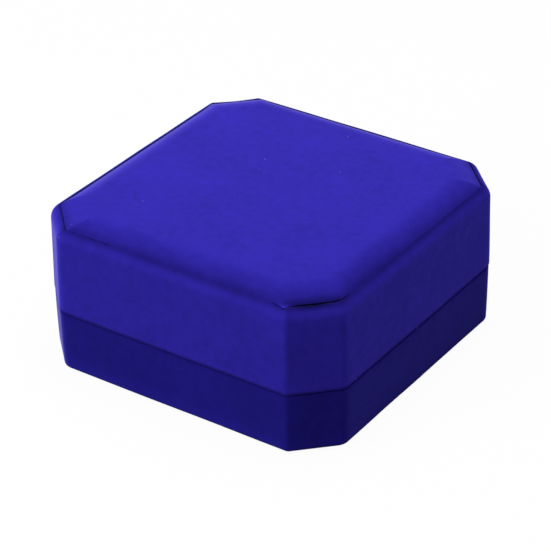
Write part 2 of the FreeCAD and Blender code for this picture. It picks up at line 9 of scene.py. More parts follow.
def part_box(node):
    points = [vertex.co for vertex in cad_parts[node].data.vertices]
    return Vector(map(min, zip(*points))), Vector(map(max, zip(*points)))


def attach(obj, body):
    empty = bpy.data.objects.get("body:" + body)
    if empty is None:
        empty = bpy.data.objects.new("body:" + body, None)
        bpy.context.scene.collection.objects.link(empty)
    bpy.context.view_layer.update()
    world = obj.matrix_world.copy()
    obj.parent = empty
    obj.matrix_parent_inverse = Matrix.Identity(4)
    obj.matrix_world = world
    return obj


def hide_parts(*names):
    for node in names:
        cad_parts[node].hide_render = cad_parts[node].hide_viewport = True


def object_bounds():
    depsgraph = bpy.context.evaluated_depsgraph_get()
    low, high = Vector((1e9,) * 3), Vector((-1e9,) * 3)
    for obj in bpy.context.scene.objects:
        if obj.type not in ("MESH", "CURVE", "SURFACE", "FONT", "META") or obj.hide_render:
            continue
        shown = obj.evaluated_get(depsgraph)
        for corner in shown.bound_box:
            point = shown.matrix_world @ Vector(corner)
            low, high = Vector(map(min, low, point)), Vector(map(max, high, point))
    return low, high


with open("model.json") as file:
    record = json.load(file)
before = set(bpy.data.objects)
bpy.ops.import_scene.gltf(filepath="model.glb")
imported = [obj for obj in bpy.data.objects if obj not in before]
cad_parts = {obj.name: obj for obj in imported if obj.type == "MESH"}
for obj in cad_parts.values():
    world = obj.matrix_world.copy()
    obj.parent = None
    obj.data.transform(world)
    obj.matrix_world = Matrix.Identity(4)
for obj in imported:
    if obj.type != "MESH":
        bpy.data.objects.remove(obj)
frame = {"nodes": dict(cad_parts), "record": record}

bl_info = {
    "name": "Velvet jewellery case",
    "version": (1, 0, 0),
    "blender": (4, 5, 0),
    "location": "View3D > Sidebar > Case",
    "description": "Dresses the frame of a hinged jewellery case in velvet, satin and nickel",
    "category": "Object",
}

CAD_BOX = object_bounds()
MM = 0.001

# Levels and edges of the frame that the covers and cushions follow
LID_LOW, LID_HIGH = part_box("lid_velvet")
BASE_LOW, BASE_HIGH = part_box("base_velvet")
CUSHION_LOW, CUSHION_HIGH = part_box("top_velvet")
PANEL_LOW, PANEL_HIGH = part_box("base_panel")
COLLAR_LOW, COLLAR_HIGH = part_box("collar_velvet")
INSERT_LOW, INSERT_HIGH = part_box("insert_velvet")
PILLOW_LOW, PILLOW_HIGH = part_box("pillow_velvet")
BAND_LOW, BAND_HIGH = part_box("liner_band")
PAD_LOW, PAD_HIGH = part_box("liner_satin")
LEAF_LOW, LEAF_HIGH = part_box("hinge_base_leaf")
JOINTS = frame["record"]["behaviour"]["joints"]
HINGE_AXIS = Vector(next(joint["pos_m"] for joint in JOINTS if joint["name"] == "lid_hinge"))
HALF_CASE = LID_HIGH.x


# Sizes, colours, painted shade and highlight, and stage that a maker would change

def length(name, description, millimetres):
    return bpy.props.FloatProperty(
        name=name, description=description, default=millimetres * MM, unit="LENGTH", precision=5)


def number(name, description, default):
    return bpy.props.FloatProperty(name=name, description=description, default=default, precision=4)


def angle(name, description, degrees):
    return bpy.props.FloatProperty(
        name=name, description=description, default=math.radians(degrees), subtype="ANGLE")


def colour(name, description, red, green, blue):
    return bpy.props.FloatVectorProperty(
        name=name, description=description, default=(red, green, blue), subtype="COLOR", min=0, max=1)


class CaseSizes(bpy.types.PropertyGroup):
    """Sizes of the covers and the padded pieces"""
    corner_cut: length("Corner cut", "How far each corner is cut off along the sides", 11)
    corner_round: length("Corner round", "Radius of the upright edges inside the case", 2.6)
    edge_round: length("Edge round", "Radius of the covers' upright edges", 4.5)
    soft_corner: length("Soft corner", "Radius of the lid's upright edge right of the front corner", 3.2)
    tight_corner: length("Tight corner", "Radius of the upright edge left of the front corner", 2.2)
    pile: length("Pile", "Thickness of the velvet with its pile", 0.6)
    wall: length("Wall", "Thickness of the moulded walls under the velvet", 1.4)
    lid_draft: length("Lid draft", "How far the lid's walls lean in", 0.35)
    base_draft: length("Base draft", "How far the base's walls lean in", 0.25)
    base_proud: length("Base proud", "How far the base's pile stands out past its board", 0.25)
    turn_in: length("Turn-in", "Depth of the velvet turned in at the parting", 4.5)
    turn_over: length("Turn-over", "Width of the velvet turned on to the recess's floor", 4)
    turn_under: length("Turn-under", "Width of the velvet turned under the foot", 8)
    rim_width: length("Rim width", "Width of the moulded rim round the recess", 2.2)
    rim_roll: length("Rim roll", "Radius of the lid's rolled rim", 3.9)
    rim_turn: angle("Rim turn", "How far the rim's roll turns before it meets the cushion", 65)
    rim_proud: length("Rim proud", "How far the rim's pile stands above its board", 0.1)
    rim_dip: length("Rim dip", "How much lower the rim lies along the cut corners", 0.3)
    foot_roll: length("Foot roll", "Radius of the base's rounded foot", 1.3)
    foot_hang: length("Foot hang", "How far the foot hangs below the underside", 0.9)
    heel_gap: length("Heel gap", "Gap between the rolled foot and the under panel", 0.3)
    fold_round: length("Fold round", "Radius of the folds at the parting", 0.5)
    waver: length("Waver", "How far a glued cover strays from a true line", 0.09)
    hinge_notch: length("Hinge notch", "Height of the hinge's mouth above and below its axis", 2.1)
    hinge_side: length("Hinge side", "Room beside the hinge in its mouth", 0.9)
    cushion_swell: length("Cushion swell", "How far the cushion's sides swell out over the rim", 1.15)
    cushion_shift: length("Cushion shift", "How far right and forwards the panel was glued", 0.3)
    cushion_roll: length("Cushion roll", "Width of the cushion's rolled sides", 6.8)
    cushion_drop: length("Cushion drop", "Depth of the cushion's rolled sides", 2.75)
    cut_roll: length("Cut roll", "Width of the slope to the cushion's cut corners", 8.5)
    cut_drop: length("Cut drop", "Depth of the slope to the cushion's cut corners", 2.8)
    ear_drop: length("Ear drop", "Depth of the cushion's roll at the ends of its sides", 2.4)
    ear_run: length("Ear run", "Length over which the roll deepens", 6)
    ear_tip: length("Ear tip", "Height of the ears at the ends of the cut corners", 0.35)
    slit: length("Slit", "Gap to the rim at the front corner", 1.0)
    snug: length("Snug", "Gap to the rim at the other corners", 0.3)
    # Reach of the painted shade from the crease
    crease_reach: length("Crease reach", "How far crushed pile spreads from the crease", 1.5)
    stuffing: length("Stuffing", "How far stuffing pushes the cushion's cover out", 0.25)
    pillow_stuffing: length("Pillow stuffing", "How far stuffing pushes the pillow's cover out", 1.2)
    pad_stuffing: length("Pad stuffing", "How far stuffing pushes the lid's satin out", 0.4)
    pillow_side: length("Pillow side", "Length of the pillow's eight sides", 21.5)
    gather: length("Gather", "Depth of the gathers round the lid's satin", 0.22)


class CaseColours(bpy.types.PropertyGroup):
    """Colours of the cloths, the metal and the hidden pieces"""
    blue_velvet: colour("Blue velvet", "Velvet of the lid, its nap laid upwards", 0.035, 0.0238, 0.452)
    # Painted shade: the base's velvet is the lid's velvet made darker, for its walls under the lid and its
    # nap laid downwards
    dark_velvet: colour("Dark velvet", "Velvet of the base, its nap laid downwards", 0.0174, 0.0131, 0.266)
    ivory_satin: colour("Ivory satin", "Lining of the lid", 0.83, 0.79, 0.70)
    dull_nickel: colour("Dull nickel", "Plated metal of the hinge", 0.66, 0.64, 0.60)
    grey_board: colour("Grey board", "Board under the covers", 0.30, 0.28, 0.25)
    black_moulding: colour("Black moulding", "Moulded shells under the covers", 0.03, 0.03, 0.045)


class CasePaintedLight(bpy.types.PropertyGroup):
    """Shares of light taken off as painted shade, and added as painted highlight, on the velvet covers"""
    # Painted shade in the crease between the rim and the cushion, and behind the rim
    crease: number("Crease", "Lost by the rim in the crease", 0.44)
    crease_right: number("Crease right", "Lost besides towards the right", 0.12)
    crease_left: number("Crease left", "Lost less towards the left", 0.6)
    crease_least: number("Crease least", "Least lost at the left", 0.27)
    front_corner: number("Front corner", "Lost besides by the rim at the front corner", 0.34)
    behind_rim: number("Behind the rim", "Lost besides where the rim turns down", 0.3)
    # Painted highlight along the rim's ridge
    ridge: number("Ridge", "Gained where the rim bends the pile open", 0.06)
    # Painted shade at the parting
    parting: number("Parting", "Lost by the lid's foot at the parting", 0.35)
    # Painted highlight along the base's front above the foot, and painted shade under the foot and at the
    # front corner
    base_band_highlight: number("Base band", "Gained by the front above the foot", 0.32)
    foot_shade: number("Darkened foot", "Lost under the base's foot", 0.75)
    base_corner_shade: number("Base corner", "Lost by the base at the front corner", 0.12)
    # Painted shade at the cushion's edge, in the slit and on its rolled front; the ear over the slit is
    # made lighter
    cushion: number("Cushion", "Lost by the cushion's edge in the crease", 0.2)
    cushion_slit_shadow: number("Cushion slit", "Lost by the cushion's edge at the front corner", 0.4)
    cushion_front_shade: number("Cushion front", "Lost on the cushion's rolled front", 0.2)
    brighter_ear: number("Brighter ear", "Gained on the ear that lies over the slit", 0.7)


class CaseStage(bpy.types.PropertyGroup):
    """Camera, floor and lamps"""
    azimuth: angle("Azimuth", "Camera's turn to the right of the front", 34.93)
    elevation: angle("Elevation", "Camera's height above the horizon", 31.08)
    roll: angle("Roll", "Camera's turn about its own view", -0.96)
    distance: length("Distance", "Camera's distance from the case", 660.5)
    target_height: length("Target height", "Height of the point that the camera faces", 21.5)
    lens: number("Lens", "Focal length in millimetres on a sensor 36 mm wide", 157.9)
    shift_x: number("Shift across", "Camera shift to the right", 0.005)
    shift_y: number("Shift up", "Camera shift upwards", -0.0212)
    key: number("Key", "Power of the lamp at the left in watts", 3.75)
    overhead: number("Overhead", "Power of the lamp above in watts", 4.6)
    ambient: number("Ambient", "Strength of the light from all round", 0.35)
    floor: colour("Floor", "Colour of the floor", 0.35, 0.35, 0.35)


def sizes():
    return bpy.context.scene.case_sizes


def colours():
    return bpy.context.scene.case_colours


def painted_lights():
    return bpy.context.scene.case_nap


# Shader maths and finishes

# Name of the attribute that holds each velvet point's painted shade, below 0, and painted highlight, above
# 0
PAINTED_LIGHT = "nap"


def join(socket, value):
    """Give a socket a value, or link another socket to it."""
    if isinstance(value, Signal):
        socket.id_data.links.new(value.socket, socket)
    else:
        socket.default_value = value


class Signal:
    """A node's output, on which Python's operators add Math nodes."""

    def __init__(self, socket):
        self.socket = socket

    def maths(self, operation, *values):
        node = self.socket.id_data.nodes.new("ShaderNodeMath")
        node.operation = operation
        for socket, value in zip(node.inputs, values):
            join(socket, value)
        return Signal(node.outputs[0])

    def __add__(self, other):
        return self.maths("ADD", self, other)

    def __radd__(self, other):
        return self.maths("ADD", other, self)

    def __sub__(self, other):
        return self.maths("SUBTRACT", self, other)

    def __rsub__(self, other):
        return self.maths("SUBTRACT", other, self)

    def __mul__(self, other):
        return self.maths("MULTIPLY", self, other)

    def __rmul__(self, other):
        return self.maths("MULTIPLY", other, self)

    def __pow__(self, other):
        return self.maths("POWER", self, other)

    def __lt__(self, other):
        return self.maths("LESS_THAN", self, other)

    def __gt__(self, other):
        return self.maths("GREATER_THAN", self, other)


class Finish:
    """A material, or the world's light, under way."""

    def __init__(self, holder):
        self.holder = holder
        holder.use_nodes = True
        self.tree = holder.node_tree
        self.tree.nodes.clear()

    def node(self, kind, settings, sockets, output=0):
        """Any node: its type, its settings, and the values or links of its sockets."""
        node = self.tree.nodes.new(f"ShaderNode{kind}")
        for name, value in settings.items():
            setattr(node, name, value)
        for name, value in sockets.items():
            join(node.inputs[name], value)
        return Signal(node.outputs[output]) if node.outputs else node

    def place(self):
        """Where a point lies on its own piece, in metres."""
        return self.node("TexCoord", {}, {}, "Object")

    def noise(self, place, size, detail=2.0):
        """Soft noise from 0 to 1 whose blotches are about a size across."""
        return self.node("TexNoise", {}, {"Vector": place, "Scale": 1 / size, "Detail": detail})

    def tinted(self, tint, strength):
        """A colour made lighter or darker over the surface."""
        return self.node("VectorMath", {"operation": "SCALE"}, {0: tint, "Scale": strength})

    def mixed(self, factor, first, second):
        return self.node("Mix", {"data_type": "RGBA"}, {0: factor, 6: first, 7: second}, 2)

    def bump(self, height, depth, strength):
        return self.node("Bump", {}, {"Height": height, "Distance": depth, "Strength": strength})

    def seen(self):
        """1 where the camera, a mirror or a glass sees the surface, and 0 where light comes from it."""
        straight, mirrored, through = (
            self.node("LightPath", {}, {}, f"Is {ray} Ray") for ray in ("Camera", "Glossy", "Transmission"))
        return straight + mirrored + through

    def ends(self, output, shader):
        self.node(f"Output{output}", {}, {"Surface": shader})
        return self.holder

    def surface(self, sockets):
        """End a material with one principled surface."""
        return self.ends("Material", self.node("BsdfPrincipled", {}, sockets))


def velvet(finish, tint):
    """Short-pile velvet, patchy and mottled, with specks of lint, a painted sheen at a slant, and painted
    shade and highlight.
    """
    place = finish.place()
    brushed_tone_and_highlight = finish.noise(place, 16 * MM, 3)
    mottled = finish.noise(place, 2.4 * MM, 4)
    tufts = finish.noise(place, 0.35 * MM)
    # Painted shade and painted highlight that each cover lays on its points
    nap = finish.node("Attribute", {"attribute_name": PAINTED_LIGHT}, {}, "Fac")
    slant = finish.node("LayerWeight", {}, {"Blend": 0.5}, "Facing")
    painted_lightness = 1 + nap
    worn = 0.54 + 0.3 * brushed_tone_and_highlight + 0.36 * mottled + 0.26 * tufts
    # Painted sheen: the colour is lighter where the pile is seen at a slant and darker where it is seen
    # head-on
    shade = worn * painted_lightness * (0.74 + 0.78 * slant ** 1.5 * painted_lightness)
    lint_cells = {"Vector": place, "Scale": 1 / (6 * MM)}
    near_speck = finish.node("TexVoronoi", {}, lint_cells, "Distance") < 0.05
    chosen = finish.node("TexVoronoi", {}, lint_cells, "Color") > 0.66
    painted_sheen = (0.36, 0.32, 1, 1)
    # Painted sheen: the colour is mixed towards a pale violet where the pile is seen at a steep slant
    pile = finish.mixed(0.7 * slant ** 7 * painted_lightness ** 3, finish.tinted(tint, shade), painted_sheen)
    lint = (0.16, 0.14, 0.62, 1)
    return finish.surface({
        "Base Color": finish.mixed(near_speck * chosen * 0.6, pile, lint),
        "Roughness": 0.82 + 0.12 * mottled,
        "Specular IOR Level": 0.0,
        "Sheen Weight": 0.09,
        "Sheen Roughness": 0.4,
        "Sheen Tint": (0.6, 0.55, 1, 1),
        "Normal": finish.bump(0.6 * tufts + 0.4 * mottled, 0.12 * MM, 0.6),
    })


def satin(finish, tint):
    """Smooth satin with a faint weave along one way and a soft gloss."""
    place = finish.place()
    clouded = finish.noise(place, 18 * MM, 2)
    threads = finish.node(
        "TexWave", {"bands_direction": "DIAGONAL"},
        {"Vector": place, "Scale": 1 / (3.2 * MM), "Distortion": 2.0, "Detail": 2.0}, "Fac")
    slubs = finish.noise(place, 0.8 * MM, 3)
    return finish.surface({
        "Base Color": finish.tinted(tint, 0.9 + 0.12 * clouded + 0.05 * slubs),
        "Roughness": 0.3 + 0.12 * slubs,
        "Specular IOR Level": 0.6,
        "Sheen Weight": 0.25,
        "Sheen Roughness": 0.3,
        "Normal": finish.bump(0.7 * threads + 0.3 * slubs, 0.02 * MM, 0.5),
    })


def nickel(finish, tint):
    """Plated steel, drawn along the hinge, a little dull."""
    place = finish.place()
    drawn = finish.node("Mapping", {}, {"Vector": place, "Scale": (0.04, 1, 1)})
    lines = finish.noise(drawn, 0.12 * MM, 3)
    dulled = finish.noise(place, 3 * MM, 3)
    return finish.surface({
        "Base Color": finish.tinted(tint, 0.88 + 0.18 * dulled),
        "Metallic": 1.0,
        "Roughness": 0.2 + 0.12 * lines + 0.1 * dulled,
        "Normal": finish.bump(lines, 0.01 * MM, 0.4),
    })


def board(finish, tint):
    """Grey board with flecks of fibre."""
    place = finish.place()
    fibres = finish.noise(place, 0.5 * MM, 4)
    flecks = finish.noise(place, 1.6 * MM, 2)
    return finish.surface({
        "Base Color": finish.tinted(tint, 0.75 + 0.3 * fibres + 0.2 * flecks),
        "Roughness": 0.85 + 0.1 * fibres,
        "Normal": finish.bump(fibres, 0.05 * MM, 0.5),
    })


def moulding(finish, tint):
    """Moulded plastic with a fine spark-eroded grain."""
    place = finish.place()
    grain = finish.noise(place, 0.4 * MM, 3)
    flow = finish.noise(place, 20 * MM, 2)
    return finish.surface({
        "Base Color": finish.tinted(tint, 0.9 + 0.2 * flow),
        "Roughness": 0.45 + 0.15 * grain,
        "Normal": finish.bump(grain, 0.03 * MM, 0.5),
    })


FINISHES = {"blue_velvet": velvet, "dark_velvet": velvet, "ivory_satin": satin, "dull_nickel": nickel,
            "grey_board": board, "black_moulding": moulding}


def finished(name):
    """The material of a name, made when it is first asked for."""
    made = bpy.data.materials.get(name)
    return made or FINISHES[name](Finish(bpy.data.materials.new(name)), (*getattr(colours(), name),))


# Outlines and meshes

SIDE_STEPS = 40
CUT_STEPS = 12
ROUND_STEPS = 6
RIM_STEPS = 12
WALL_STEPS = 10
BULGE_STEPS = 8
LOOP_STEPS = 4 * (SIDE_STEPS + CUT_STEPS) + 8 * ROUND_STEPS
GRID_RINGS = LOOP_STEPS // 8
EIGHTH = math.pi / 4
CUT_SPAN = math.radians(9)
WAVER_RUN = 17 * MM
WAVER_OFFSETS = Vector((31.7, 0, 0)), Vector((0, 47.3, 0)), Vector((0, 0, 59.1))
COVER_FOLD = math.radians(50)
CUSHION_FOLD = math.radians(60)


def clamped(share):
    return min(max(share, 0.0), 1.0)


def eased(share):
    """A share from 0 to 1, made to start and end softly."""
    share = clamped(share)
    return share * share * (3 - 2 * share)


def fading(distance, reach):
    """1 at a place, and softly less the farther from it."""
    return math.exp(-(distance / reach) ** 2)


def rolled(distance, width, drop):
    """How far a padded edge lies below the top, at a distance from it."""
    return drop * max(0.0, 1 - distance / width) ** 2


def heading(eighths):
    """The way that lies some eighths of a turn from the right."""
    return Vector((math.cos(eighths * EIGHTH), math.sin(eighths * EIGHTH)))


class Outline:
    """An eight-sided outline with rounded corners, walked from the middle of its right side."""

    def __init__(self, half_width, corner_cut, rounds, cut_insets=(0.0,) * 4):
        cut_reach = (2 * half_width - corner_cut) / math.sqrt(2)
        self.reaches = [reach for inset in cut_insets for reach in (half_width, cut_reach - inset)]
        self.rounds = rounds

    def corner(self, side, inset):
        """Where a side meets the next one."""
        here, there = (self.reaches[turn % 8] - inset for turn in (side, side + 1))
        this_way, that_way = heading(side), heading(side + 1)
        lean = math.cos(EIGHTH)
        both = (here - there * lean) * this_way + (there - here * lean) * that_way
        return both / math.sin(EIGHTH) ** 2

    def bend(self, side, inset):
        """Points of the rounded corner after a side."""
        radius = max(self.rounds[side] - inset, self.rounds[side] / 5)
        centre = self.corner(side, inset) - radius / math.cos(EIGHTH / 2) * heading(side + 0.5)
        turns = [side + step / ROUND_STEPS for step in range(ROUND_STEPS + 1)]
        return [centre + radius * heading(turn) for turn in turns]

    def loop(self, inset=0.0):
        bends = [self.bend(side, inset) for side in range(8)]
        points = []
        for side in range(8):
            steps = CUT_STEPS if side % 2 else SIDE_STEPS
            start, end = bends[side - 1][-1], bends[side][0]
            points += [start.lerp(end, step / steps) for step in range(steps)]
            points += bends[side][:-1]
        half_side = SIDE_STEPS // 2
        return points[half_side:] + points[:half_side]

    def inside(self, point):
        """A point's distances from the nearest long side, that side's ends and the nearest cut."""
        wide, narrow = max(abs(point.x), abs(point.y)), min(abs(point.x), abs(point.y))
        right, back = point.x > 0, point.y > 0
        nearest_cut = (1 if right else 3) if back else (7 if right else 5)
        side_reach, cut_reach = self.reaches[0], self.reaches[nearest_cut]
        side_end = math.sqrt(2) * cut_reach - side_reach
        cut = cut_reach - (wide + narrow) / math.sqrt(2)
        return max(side_reach - wide, 0), max(side_end - narrow, 0), max(cut, 0)

    def from_edge(self, point):
        """A point's distance from the nearest side, long or cut."""
        side, _, cut = self.inside(point)
        return min(side, cut)


def case_outline(last_round):
    """The lid's or the base's outside. Its corners were wrapped by hand, so they differ."""
    size = sizes()
    plain, tight = size.edge_round, size.tight_corner
    return Outline(HALF_CASE, size.corner_cut, (plain, plain, tight, last_round) * 2)


def inner_outline(half_width, rounding, cut_insets=(0.0,) * 4):
    """The case's outline brought in to a half width, with corners of one rounding."""
    inset = HALF_CASE - half_width
    corner_cut = sizes().corner_cut - (2 - math.sqrt(2)) * inset
    return Outline(half_width, corner_cut, (rounding,) * 8, cut_insets)


def turned(start, end, steps=6):
    """A quarter turn of an ellipse between two points of a profile, which leaves the start upright."""
    turns = [step / steps * math.pi / 2 for step in range(steps + 1)]
    span = Vector(end) - Vector(start)
    return [(start[0] + span.x * (1 - math.cos(turn)), start[1] + span.y * math.sin(turn))
            for turn in turns]


def turned_down(start, end, steps=6):
    """A quarter turn of an ellipse that reaches the end upright."""
    return turned(end, start, steps)[::-1]


def straight(start, end, steps):
    """Evenly spaced points of a straight stretch of a profile, without its ends."""
    return [tuple(Vector(start).lerp(Vector(end), step / steps)) for step in range(1, steps)]


def strayed(point, reach):
    """How far a hand-glued cover's point lies off its true place."""
    spot = point / WAVER_RUN
    return reach * Vector([noise.noise(spot + offset) for offset in WAVER_OFFSETS])


def ring_of(loop, level, waver=0.0):
    """A loop's points at a level."""
    points = [Vector((*point, level)) for point in loop]
    return [point + strayed(point, waver) for point in points]


def rings_of(outline, profile, waver=0.0):
    """Rings of points round an outline, one for each inset and level of a profile."""
    return [ring_of(outline.loop(inset), level, waver) for inset, level in profile]


def added(name, data):
    """A new object in the scene."""
    thing = bpy.data.objects.new(name, data)
    bpy.context.scene.collection.objects.link(thing)
    return thing


def shaped(name, rings, closed=False, cap=False, fill=None):
    """A piece through rings of points: closed on itself, or capped below and filled with a grid above."""
    shape = bmesh.new()
    loops = [[shape.verts.new(point) for point in ring] for ring in rings]
    for lower, upper in zip(loops, loops[1:] + (loops[:1] if closed else [])):
        for step in range(LOOP_STEPS):
            shape.faces.new((lower[step - 1], lower[step], upper[step], upper[step - 1]))
    if cap:
        shape.faces.new(loops[0])
    if fill:
        fill_grid(shape, loops[-1], fill)
    bmesh.ops.recalc_face_normals(shape, faces=shape.faces)
    mesh = bpy.data.meshes.new(name)
    shape.to_mesh(mesh)
    shape.free()
    mesh.shade_smooth()
    return added(name, mesh)


def ring_and_turn(column, row):
    """A grid point's ring, and how far round that ring it lies, from 0 to 1."""
    ring = max(abs(column), abs(row))
    if ring == 0:
        return 0, 0.0
    if column == ring and row > -ring:
        steps = row
    elif row == ring:
        steps = 2 * ring - column
    elif column == -ring:
        steps = 4 * ring - row
    else:
        steps = 6 * ring + column
    return ring, steps / (8 * ring) % 1


def fill_grid(shape, border, place):
    """Fill a ring with a square grid of quads, whose points a function of ring and turn places."""
    points = {}
    span = range(-GRID_RINGS, GRID_RINGS + 1)
    for column in span:
        for row in span:
            ring, turn = ring_and_turn(column, row)
            if ring == GRID_RINGS:
                points[column, row] = border[round(turn * LOOP_STEPS) % LOOP_STEPS]
            else:
                points[column, row] = shape.verts.new(place(ring / GRID_RINGS, turn))
    for column in span[:-1]:
        for row in span[:-1]:
            around = (column, row), (column + 1, row), (column + 1, row + 1), (column, row + 1)
            shape.faces.new([points[spot] for spot in around])


def part_way(loop, turn):
    """The point a share of the way round a loop."""
    step = turn * len(loop)
    first = int(step)
    return loop[first % len(loop)].lerp(loop[(first + 1) % len(loop)], step - first)


def spread(ring):
    """How far out a ring of a grid lies. The rings crowd towards the edge, where the form bends most."""
    return 1 - (1 - ring) ** 1.7


def cut_box(piece, low, high):
    """Cut a box out of a piece."""
    shape = bmesh.new()
    corners = [shape.verts.new((x, y, z)) for x in (low[0], high[0]) for y in (low[1], high[1])
               for z in (low[2], high[2])]
    bmesh.ops.convex_hull(shape, input=corners)
    mesh = bpy.data.meshes.new("cutter")
    shape.to_mesh(mesh)
    shape.free()
    cutter = added("cutter", mesh)
    modifier = piece.modifiers.new("cut", "BOOLEAN")
    modifier.object = cutter
    modifier.solver = "EXACT"
    bpy.context.view_layer.update()
    result = bpy.data.meshes.new_from_object(piece.evaluated_get(bpy.context.evaluated_depsgraph_get()))
    piece.modifiers.clear()
    piece.data = result
    bpy.data.objects.remove(cutter)
    bpy.data.meshes.remove(mesh)


STUFFING_SCALE = 10
STUFFING_FRAMES = 12
STUFFING_PASSES = 6


def stuffed(piece, pressure, reach, held):
    """Blow a cover up as cloth, its first points held, until its farthest point has moved by a reach."""
    rest = [vertex.co.copy() for vertex in piece.data.vertices]
    group = piece.vertex_groups.new(name="held")
    group.add(list(range(held)), 1.0, "REPLACE")
    piece.scale = (STUFFING_SCALE,) * 3
    cloth = piece.modifiers.new("stuffing", "CLOTH")
    settings = cloth.settings
    settings.quality = 4
    settings.mass = 0.3
    settings.tension_stiffness = settings.compression_stiffness = 20
    settings.shear_stiffness = 10
    settings.bending_stiffness = 2
    settings.vertex_group_mass = group.name
    settings.use_pressure = True
    settings.uniform_pressure_force = pressure
    settings.effector_weights.gravity = 0
    cloth.point_cache.frame_end = STUFFING_FRAMES
    scene = bpy.context.scene
    for step in range(1, STUFFING_FRAMES + 1):
        scene.frame_set(step)
    result = piece.evaluated_get(bpy.context.evaluated_depsgraph_get())
    moves = [vertex.co - start for vertex, start in zip(result.data.vertices, rest)]
    piece.modifiers.clear()
    piece.vertex_groups.clear()
    piece.scale = (1, 1, 1)
    scene.frame_set(1)
    moves = evened(piece.data, moves, held)
    farthest = max(move.length for move in moves)
    if farthest == 0:
        raise RuntimeError(f"{piece.name}: the stuffing moved nothing")
    for vertex, start, move in zip(piece.data.vertices, rest, moves):
        vertex.co = start + move * (reach / farthest)
    piece.data.update()


def evened(mesh, moves, held):
    """Moves averaged with their neighbours' a few times, which takes out streaks."""
    neighbours = [[] for vertex in mesh.vertices]
    for first, second in (edge.vertices for edge in mesh.edges):
        neighbours[first].append(second)
        neighbours[second].append(first)
    for each_pass in range(STUFFING_PASSES):
        means = [sum((moves[other] for other in near), Vector()) / len(near) for near in neighbours]
        moves = [move if index < held else (move + mean) / 2
                 for index, (move, mean) in enumerate(zip(moves, means))]
    return moves


def dress(piece, material, body, slot, *nodes, fold=COVER_FOLD):
    """Give a piece its sharp folds and its material, and say what it rides on and stands for."""
    piece.data.set_sharp_from_angle(angle=fold)
    piece.data.materials.clear()
    piece.data.materials.append(finished(material))
    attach(piece, body)
    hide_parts(*nodes)
    return {"FINISHED"}


# Covers and cushions, each made by an operator

FRONT_RUN = 40 * MM
BAND_REACH = 1.8 * MM
RIDGE_REACHES = 1.9


def cut_share(point):
    """How far a point lies into a cut corner's span, from 0 on a long side to 1 at its middle."""
    bearing = math.atan2(abs(point.y), abs(point.x))
    return eased(1 - abs(bearing - EIGHTH) / CUT_SPAN)


def by_front_corner(point):
    """Whether a point lies in the front corner's quarter."""
    return point.x > 0 > point.y


def lay_painted_light(piece, lightness):
    """Write each point's painted shade and painted highlight, the share of light its velvet's colour loses
    or gains.
    """
    nap = piece.data.attributes.new(PAINTED_LIGHT, "FLOAT", "POINT")
    nap.data.foreach_set("value", [lightness(vertex.co) for vertex in piece.data.vertices])


def hinge_mouth(piece, low, high, turn_low, turn_high):
    """Open a cover's back between two levels for the hinge's knuckles, and its turn-in for the leaf."""
    size = sizes()
    across = LEAF_HIGH.x + size.hinge_side
    front, back = COLLAR_HIGH.y, CAD_BOX[1][1] + size.hinge_side
    in_wall = HALF_CASE - size.pile - size.wall / 2
    cut_box(piece, (-across, front, low), (across, back, high))
    cut_box(piece, (-across, front, turn_low), (across, in_wall, turn_high))


class CASE_OT_lid_cover(bpy.types.Operator):
    """Velvet over the lid, rolled over its rim into the recess and turned in at its foot"""
    bl_idname = "case.lid_cover"
    bl_label = "Lid cover"

    def execute(self, context):
        size = sizes()
        foot, rim, floor = LID_LOW.z, LID_HIGH.z, CUSHION_LOW.z
        pile, roll, fold, lean = size.pile, size.rim_roll, size.fold_round, size.lid_draft
        inside = 2 * pile + size.wall
        recess = lean + 2 * pile + size.rim_width
        crest = rim + size.rim_proud
        rise = roll * math.sin(size.rim_turn)
        turns = [step / RIM_STEPS * size.rim_turn for step in range(RIM_STEPS + 1)]
        arc = [(lean + roll * (1 - math.cos(turn)), crest - rise + roll * math.sin(turn))
               for turn in turns]
        crest_inset = arc[-1][0]
        profile = [
            (inside, foot + size.turn_in),
            *turned((inside, foot + fold), (inside - fold, foot)),
            *turned_down((fold, foot), (0, foot + fold)),
            (0, foot + 2 * fold),
            *straight((0, foot + 2 * fold), (lean, crest - rise), WALL_STEPS),
            *arc,
            *turned_down(arc[-1], (recess, rim - 2 * pile))[1:],
            (recess, floor),
            (recess + size.turn_over, floor),
            (recess + size.turn_over, floor - pile),
            (recess - pile, floor - pile),
            (recess - pile, rim - pile),
            (lean + 3 * pile, rim - pile),
            (lean + pile, rim - 3 * pile),
            (pile, foot + pile),
            (inside - pile, foot + pile),
            (inside - pile, foot + size.turn_in),
        ]
        outline = case_outline(size.soft_corner)
        rings = rings_of(outline, profile, size.waver)
        for point in (point for ring in rings for point in ring):
            point.z -= size.rim_dip * cut_share(point) * max(0, (point.z - crest + rise) / rise)
        piece = shaped("lid_cover", rings, closed=True)
        hinge_mouth(piece, foot - size.turn_in, HINGE_AXIS.z + size.hinge_notch,
                    foot - size.turn_in, foot + size.turn_in + fold)

        # Painted shade: darker in the crease between the rim and the cushion, more to the right, behind the
        # rim, at the front corner and at the parting; a painted highlight along the rim's ridge just
        # outside the crease
        def shaded(point):
            nap = painted_lights()
            past_crest = outline.from_edge(point) - crest_inset
            distance = math.hypot(past_crest, point.z - crest)
            sideways = max(abs(point.x) - 0.75 * abs(point.y), 0) / HALF_CASE
            if point.x > 0:
                depth = nap.crease + nap.crease_right * sideways
            else:
                depth = max(nap.crease - nap.crease_left * sideways, nap.crease_least)
            if by_front_corner(point):
                depth += nap.front_corner * cut_share(point)
            if past_crest > 0.05 * MM:
                depth += nap.behind_rim
            reach = size.crease_reach
            ridge_lit = nap.ridge * fading(distance - RIDGE_REACHES * reach, reach)
            at_foot = nap.parting if point.z < foot + 1.5 * fold else 0
            return ridge_lit - depth * fading(distance, reach) - at_foot

        lay_painted_light(piece, shaded)
        return dress(piece, "blue_velvet", "lid", "velvet", "lid_velvet")


